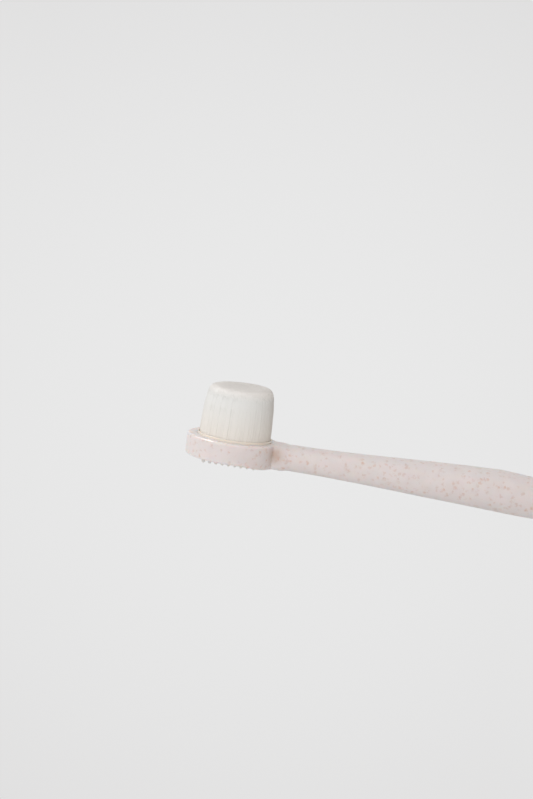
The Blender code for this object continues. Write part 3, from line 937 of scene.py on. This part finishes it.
def set_out(mesh, block):
    """Move a block's filaments to their places, and give their tones and their points' heights."""
    random = np.random.default_rng(BLOCK_SEED + block)
    index = np.arange(FILAMENTS) * FILAMENT_BLOCKS + block
    share = np.sqrt((index + 0.5) / (FILAMENTS * FILAMENT_BLOCKS))
    way = np.stack([np.cos(index * GOLDEN_ANGLE), np.sin(index * GOLDEN_ANGLE)])
    root = (root_reach - FILAMENT_RADIUS) * share * way
    root[0] += random.normal(0.0, ROOT_SCATTER, FILAMENTS)
    root[1] += random.normal(0.0, ROOT_SCATTER, FILAMENTS)
    sway = clump_sway(*root) * share ** 0.5 + random.normal(0.0, OWN_SWAY, (2, FILAMENTS))
    edge = share ** CROWN_POWER
    unevenness = random.gamma(UNEVENNESS_SHAPE, TIP_UNEVENNESS, FILAMENTS)
    top = crown_top + CROWN_TILT * root[0] - CROWN_DROP * edge
    top -= unevenness * (1.0 + EDGE_UNEVENNESS * edge)
    turn = random.uniform(0.0, 2.0 * math.pi, FILAMENTS)[:, None]
    tone = random.integers(0, TONES, FILAMENTS)

    points = np.empty(len(mesh.vertices) * 3, np.float64)
    mesh.vertices.foreach_get("co", points)
    points = points.reshape(FILAMENTS, FILAMENT_POINTS, 3)
    across, along, height = points[:, :, 0], points[:, :, 1], points[:, :, 2]
    thick = FILAMENT_RADIUS * (1.0 - (1.0 - TIP_SHARE) * height ** TAPER_POWER)
    side_x = (across * np.cos(turn) - along * np.sin(turn)) * thick
    side_y = (across * np.sin(turn) + along * np.cos(turn)) * thick
    inward = inward_at(height, share[:, None]) * share[:, None]
    centre = root[:, :, None] - way[:, :, None] * inward
    centre += sway[:, :, None] * height ** LEAN_POWER
    points[:, :, 0] = TUFT_X + centre[0] + side_x
    points[:, :, 1] = centre[1] + side_y
    points[:, :, 2] = filament_low + (top - filament_low)[:, None] * height
    mesh.vertices.foreach_set("co", points.ravel())
    return tone, points[:, :, 2]


def map_height(z):
    """Give the place along the tuft's maps where a height lies."""
    return mix(*MAP_HEIGHTS, (z - root_disc_low) / (tuft_high.z - root_disc_low))


def map_filaments(mesh, tone, z):
    """Map each filament into the strip of its tone, and along the map with its height."""
    corners = np.empty(len(mesh.loops), np.int32)
    mesh.loops.foreach_get("vertex_index", corners)
    # The points are spread over the strip, so that the faces between them have a width there.
    in_strip = (corners % FILAMENT_SIDES + 0.5) / FILAMENT_SIDES
    across = (tone[corners // FILAMENT_POINTS] + in_strip) / TONES
    spots = np.stack([across, map_height(z.ravel()[corners])], axis=1)
    layer = mesh.uv_layers.new(name=TUFT_MAP)
    layer.uv.foreach_set("vector", spots.astype(np.float32).ravel())
    mesh.update()


for block in range(FILAMENT_BLOCKS):
    mesh = first_block if block == 0 else filament_mesh(f"bristles_{block + 1}")
    map_filaments(mesh, *set_out(mesh, block))
    mesh.shade_smooth()
    mesh.materials.append(BRISTLE_NYLON)
    bristles = bpy.data.objects.new(mesh.name, mesh)
    bpy.context.scene.collection.objects.link(bristles)
    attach(bristles, "root")
    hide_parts("bristle_tuft")
    told(bristles)

# %% [markdown]
# The bristles' core
#
# The filaments stand so close that no light passes through the whole tuft. A turned core stands
# for the mass behind the outer ones: it is the root disc that they are fused into and, a hair's
# breadth inside their envelope, the body that keeps the tuft as solid and bright as the real one.
# Its finish changes with height alone, so its map may lay all its sides over one another.

# %% Turn the core
CORE_SINK = 0.08 * MM
CORE_TIP_SINK = 0.12 * MM
CORE_STEPS = 20
CORE_SHADES = (0.4, 0.6)


def core_profile():
    """Follow the envelope of the filaments, a little inside it."""
    top = crown_top - CORE_TIP_SINK
    profile = [(0.0, root_disc_low), (root_reach, root_disc_low)]
    for rise in spread(0.0, 1.0, CORE_STEPS):
        radius = root_reach - CORE_SINK - inward_at(rise, 1.0)
        profile.append((radius, mix(filament_low, top - CROWN_DROP, rise)))
    for share in spread(1.0, 0.0, CORE_STEPS * 2):
        radius = root_reach - CORE_SINK - inward_at(1.0, share)
        profile.append((radius * share, top - CROWN_DROP * share ** CROWN_POWER))
    return profile


def map_core(bm):
    """Map the core into the middle shades, and along the map with its height."""
    layer = bm.loops.layers.uv.new(TUFT_MAP)
    for loop in [loop for face in bm.faces for loop in face.loops]:
        point = loop.vert.co
        around = abs(math.atan2(point.y, point.x - TUFT_X)) / math.pi
        loop[layer].uv = (mix(*CORE_SHADES, around), map_height(point.z))


core_body = turned(core_profile(), TUFT_X, ROUND_STEPS)
for vert in core_body.verts:
    rise = smooth_step((vert.co.z - ring_top) / (crown_top - ring_top))
    vert.co.z += CROWN_TILT * (vert.co.x - TUFT_X) * rise
map_core(core_body)
core = add_piece("bristle_core", core_body, BRISTLE_NYLON)
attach(core, "root")
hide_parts("bristle_tuft")
told(core)

# %% [markdown]
# The pad with nubs
#
# The back of the head carries a soft pad for cleaning the tongue. Its nubs stand in rows along and
# across the brush, and its edge is rounded. Circles on a flat face become holes when the face is
# filled between them, each hole gets a face of its own, and that face is extruded down through a
# few smaller sections, which makes a round nub that is one with the pad.

# %% Model the pad
PAD_THICKNESS = 1.1 * MM
PAD_EDGE = 0.3 * MM
PAD_EDGE_STEPS = 4
NUB_ROWS = 9
NUB_MARGIN = 0.1 * MM
NUB_PITCH = 1.53 * MM
NUB_RADIUS = 0.5 * MM
NUB_HEIGHT = 0.95 * MM
NUB_SIDES = 16
NUB_STEPS = 6
NUB_BLUNTNESS = 0.7
NUB_TIP_SHARE = 0.12

pad_bottom = pad_low.z + NUB_HEIGHT
pad_top = pad_bottom + PAD_THICKNESS


def nub_places():
    """Set out the nubs in rows along and across the brush, as far as the pad has room."""
    room = PAD_RADIUS - NUB_RADIUS - NUB_MARGIN
    lines = [(line - (NUB_ROWS - 1) / 2) * NUB_PITCH for line in range(NUB_ROWS)]
    return [(x, y) for x in lines for y in lines if math.hypot(x, y) <= room]


def pad_face(bm):
    """Fill the pad's lower face round the nubs' feet, and give its outline and the feet."""
    inner = PAD_RADIUS - PAD_EDGE
    outline = bmesh.ops.create_circle(
        bm, cap_ends=False, segments=ROUND_STEPS, radius=inner,
        matrix=Matrix.Translation((HEAD_X, 0, pad_bottom)),
    )["verts"]
    feet = []
    for x, y in nub_places():
        place = Matrix.Translation((HEAD_X + x, y, pad_bottom))
        made = bmesh.ops.create_circle(
            bm, cap_ends=False, segments=NUB_SIDES, radius=NUB_RADIUS, matrix=place,
        )
        feet.append(made["verts"])
    bmesh.ops.triangle_fill(
        bm, use_beauty=True, use_dissolve=False, edges=bm.edges[:], normal=(0, 0, -1),
    )
    return outline, [bm.faces.new(foot) for foot in feet]


def grow_nub(bm, foot):
    """Extrude a nub's foot down into a dome."""
    centre = foot.calc_center_median()
    starts = [vert.co.copy() for vert in foot.verts]
    top = foot
    for turn in spread(0.0, math.pi / 2, NUB_STEPS):
        top = bmesh.ops.extrude_discrete_faces(bm, faces=[top])["faces"][0]
        share = max(math.cos(turn) ** NUB_BLUNTNESS, NUB_TIP_SHARE)
        for vert, start in zip(top.verts, starts):
            vert.co = centre + (start - centre) * share
            vert.co.z = pad_bottom - NUB_HEIGHT * math.sin(turn)


def model_pad():
    """Model the pad as one closed body: its face with nubs, its rounded edge and its back."""
    bm = bmesh.new()
    outline, feet = pad_face(bm)
    for foot in feet:
        grow_nub(bm, foot)
    outline = set(outline)
    rim = [edge for edge in bm.edges if outline.issuperset(edge.verts)]
    edge_centre = (PAD_RADIUS - PAD_EDGE, pad_bottom + PAD_EDGE)
    profile = corner(edge_centre, PAD_EDGE, -90.0, 0.0, PAD_EDGE_STEPS)
    profile.append((PAD_RADIUS, pad_top))
    for radius, height in profile[1:]:
        grown = bmesh.ops.extrude_edge_only(bm, edges=rim)["geom"]
        rim = [item for item in grown if isinstance(item, bmesh.types.BMEdge)]
        for vert in {vert for edge in rim for vert in edge.verts}:
            flat = Vector((vert.co.x - HEAD_X, vert.co.y, 0.0)).normalized() * radius
            vert.co = (HEAD_X + flat.x, flat.y, height)
    bmesh.ops.contextual_create(bm, geom=rim)
    return bm


pad = add_piece("tongue_pad", model_pad(), SOFT_RUBBER)
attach(pad, "root")
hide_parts("tongue_cleaner")
print(len(nub_places()), "nubs")
told(pad)

# %% [markdown]
# The light
#
# In the photograph the tuft is bright at its left edge, even in front and clearly darker at
# its right edge, while the handle is nearly as light at its edges as in its middle. So most
# of the light comes evenly from all round, and only two soft boxes near the head give the
# brush its shape: one in front and a little to the left, one at the left and just behind.
# They don't show in the gloss, where they would leave white patches on the top when the brush
# is seen from behind. A narrow spot high at the left adds to the gloss alone. It reaches only
# the near rim of the head, where it makes a glint.

# %% Light the brush
KEY_AZIMUTH = math.radians(-10.0)
KEY_ELEVATION = math.radians(10.0)
KEY_DISTANCE = 0.2
KEY_SIZE = 0.14
KEY_IRRADIANCE = 0.78
SIDE_AZIMUTH = math.radians(-105.0)
SIDE_ELEVATION = math.radians(8.0)
SIDE_DISTANCE = 0.2
SIDE_SIZE = 0.16
SIDE_IRRADIANCE = 0.65
GLINT_AZIMUTH = math.radians(-107.0)
GLINT_ELEVATION = math.radians(54.0)
GLINT_SHIFT = Vector((-6.1, -9.4, -0.8)) * MM
GLINT_DISTANCE = 0.3
GLINT_RADIUS = 8.0 * MM
GLINT_CONE = math.radians(3.0)
GLINT_SOFTNESS = 0.8
GLINT_IRRADIANCE = 9.0


def link_lamp(name, lamp, azimuth, elevation, distance):
    """Put a lamp at a distance from the head's centre, facing it."""
    way = direction(azimuth, elevation)
    holder = bpy.data.objects.new(name, lamp)
    holder.location = Vector((HEAD_X, 0.0, ring_high.z)) + way * distance
    holder.rotation_mode = "QUATERNION"
    holder.rotation_quaternion = way.to_track_quat("Z", "Y")
    holder.visible_camera = False
    bpy.context.scene.collection.objects.link(holder)
    return holder


def add_soft_box(name, azimuth, elevation, distance, size, irradiance):
    """Add a round soft box, kept out of the gloss, that lights the head this much."""
    lamp = bpy.data.lights.new(name, "AREA")
    lamp.shape = "DISK"
    lamp.size = size
    lamp.energy = irradiance * math.pi * distance ** 2
    box = link_lamp(name, lamp, azimuth, elevation, distance)
    box.visible_glossy = False


def add_glint():
    """Add a narrow spot on the near rim of the head, which shows in the gloss alone."""
    lamp = bpy.data.lights.new("glint", "SPOT")
    lamp.energy = GLINT_IRRADIANCE * 4.0 * math.pi * GLINT_DISTANCE ** 2
    lamp.shadow_soft_size = GLINT_RADIUS
    lamp.spot_size = GLINT_CONE
    lamp.spot_blend = GLINT_SOFTNESS
    glint = link_lamp("glint", lamp, GLINT_AZIMUTH, GLINT_ELEVATION, GLINT_DISTANCE)
    glint.location += GLINT_SHIFT
    glint.visible_diffuse = False


add_soft_box("key", KEY_AZIMUTH, KEY_ELEVATION, KEY_DISTANCE, KEY_SIZE, KEY_IRRADIANCE)
add_soft_box("side", SIDE_AZIMUTH, SIDE_ELEVATION, SIDE_DISTANCE, SIDE_SIZE, SIDE_IRRADIANCE)
add_glint()
bpy.context.scene.view_settings.view_transform = "Standard"
print("lamps are set")

# %% [markdown]
# The backdrop and the fill
#
# The photograph has a seamless pale grey backdrop that darkens a little towards the edges.
# The world shows it to the camera and to gloss: the further a direction points above or
# below the one that the photograph looks in, or to the side of it, the darker the backdrop,
# up to a limit, so that it stays pale all round. Everything else sees the fill, which is a
# little brighter above and below than at the sides, and weaker and browner on the side that
# the tail points to, where the tuft has its darker edge.

# %% Make the world
BACKDROP = screen(233, 233, 233)
BACKDROP_EDGE = screen(217, 216, 216)
ACROSS_SHARE = 0.14
ACROSS_LIMIT = 1.0
ABOVE_SHARE = 0.42
ABOVE_LIMIT = 1.5
FILL = 0.67
FILL_UPRIGHT = 0.24
DULL_AZIMUTH = math.radians(108.0)
PLAIN_TINT = (1.0, 1.0, 1.0, 1.0)
DULL_TINT = (0.42, 0.35, 0.29, 1.0)
DULL_START = 0.5
DULL_END = 0.72


def backdrop_colour(finish, way):
    """Give the backdrop's colour in a direction."""
    half_height = PHOTO_HEIGHT / PIXELS_PER_METRE / CAMERA_DISTANCE / 2
    half_width = half_height * PHOTO_WIDTH / PHOTO_HEIGHT
    right = (math.cos(CAMERA_AZIMUTH), math.sin(CAMERA_AZIMUTH), 0.0)
    across = finish.dot(way, right) / half_width
    above = (finish.dot(way, (0.0, 0.0, 1.0)) + math.sin(CAMERA_ELEVATION)) / half_height
    aside = finish.maths("MINIMUM", across * across, ACROSS_LIMIT)
    away = finish.maths("MINIMUM", above * above, ABOVE_LIMIT)
    return finish.mix(aside * ACROSS_SHARE + away * ABOVE_SHARE, BACKDROP, BACKDROP_EDGE)


def fill_colour(finish, way):
    """Give the colour and strength of the fill in a direction."""
    upright = finish.dot(way, (0.0, 0.0, 1.0))
    dull_side = finish.dot(way, direction(DULL_AZIMUTH, 0.0))
    tint = finish.mix(finish.fade(dull_side, DULL_START, DULL_END), PLAIN_TINT, DULL_TINT)
    return finish.scaled(tint, upright * upright * FILL_UPRIGHT + FILL)


def light_world():
    """Make the world: the backdrop for what the camera and gloss see, and the fill for the rest."""
    world = bpy.data.worlds.new("room")
    bpy.context.scene.world = world
    finish = Finish(world)
    way = finish.node("ShaderNodeTexCoord", {}, {}, "Generated")
    shown = finish.maths("MAXIMUM", finish.ray("Is Camera Ray"), finish.ray("Is Glossy Ray"))
    shown = finish.maths("MAXIMUM", shown, finish.ray("Is Transmission Ray"))
    background = finish.tree.nodes["Background"].inputs
    colour = finish.mix(shown, fill_colour(finish, way), backdrop_colour(finish, way))
    finish.feed(background["Color"], colour)
    finish.feed(background["Strength"], 1.0)


light_world()
print("backdrop and fill are set")

# %% [markdown]
# The floor
#
# The brush is held well clear of anything in the photograph, and no shadow is in view. The floor
# is a wide disc a good way below the brush. It keeps the brush's soft shadow, and it fades into
# the backdrop further out, so that no horizon shows. The light on it is a little weaker than the
# backdrop is bright, so it gives off the difference, to the camera only. Seen from below it isn't
# there at all, so that the back of the head can be looked at.

# %% Make the floor
FLOOR_DROP = 0.5
FLOOR_RADIUS = 1.6
FLOOR_SIDES = 96
FLOOR_GREY = screen(231, 231, 231)
FLOOR_CLOUD = 0.4
FADE_START = 0.62
FADE_END = 1.2
BLACK = (0.0, 0.0, 0.0, 1.0)


def floor_finish():
    """Make the floor's pale matte finish, which fades out towards the horizon."""
    finish = Finish(bpy.data.materials.new("floor"))
    place = finish.place()
    far = finish.vector("LENGTH", place, output="Value")
    below = finish.node("ShaderNodeNewGeometry", {}, {}, "Backfacing")
    missing = (1.0 - FILL - FILL_UPRIGHT / 2) * BACKDROP[0]
    glow = (missing, missing, missing, 1.0)
    finish.set(
        Base_Color=finish.mix(finish.noise(place, FLOOR_CLOUD), BACKDROP, FLOOR_GREY),
        Roughness=0.9,
        Specular_IOR_Level=0.0,
        Alpha=finish.fade(far, FADE_START, FADE_END, 1.0, 0.0) * (1.0 - below),
        Emission_Color=finish.mix(finish.ray("Is Camera Ray"), BLACK, glow),
        Emission_Strength=1.0,
    )
    return finish.owner


floor_mesh = bmesh.new()
bmesh.ops.create_circle(
    floor_mesh, cap_ends=True, segments=FLOOR_SIDES, radius=FLOOR_RADIUS,
    matrix=Matrix.Translation((0, 0, -FLOOR_DROP)),
)
floor = add_piece("floor", floor_mesh, floor_finish())
print(f"floor {FLOOR_DROP} m below the brush")
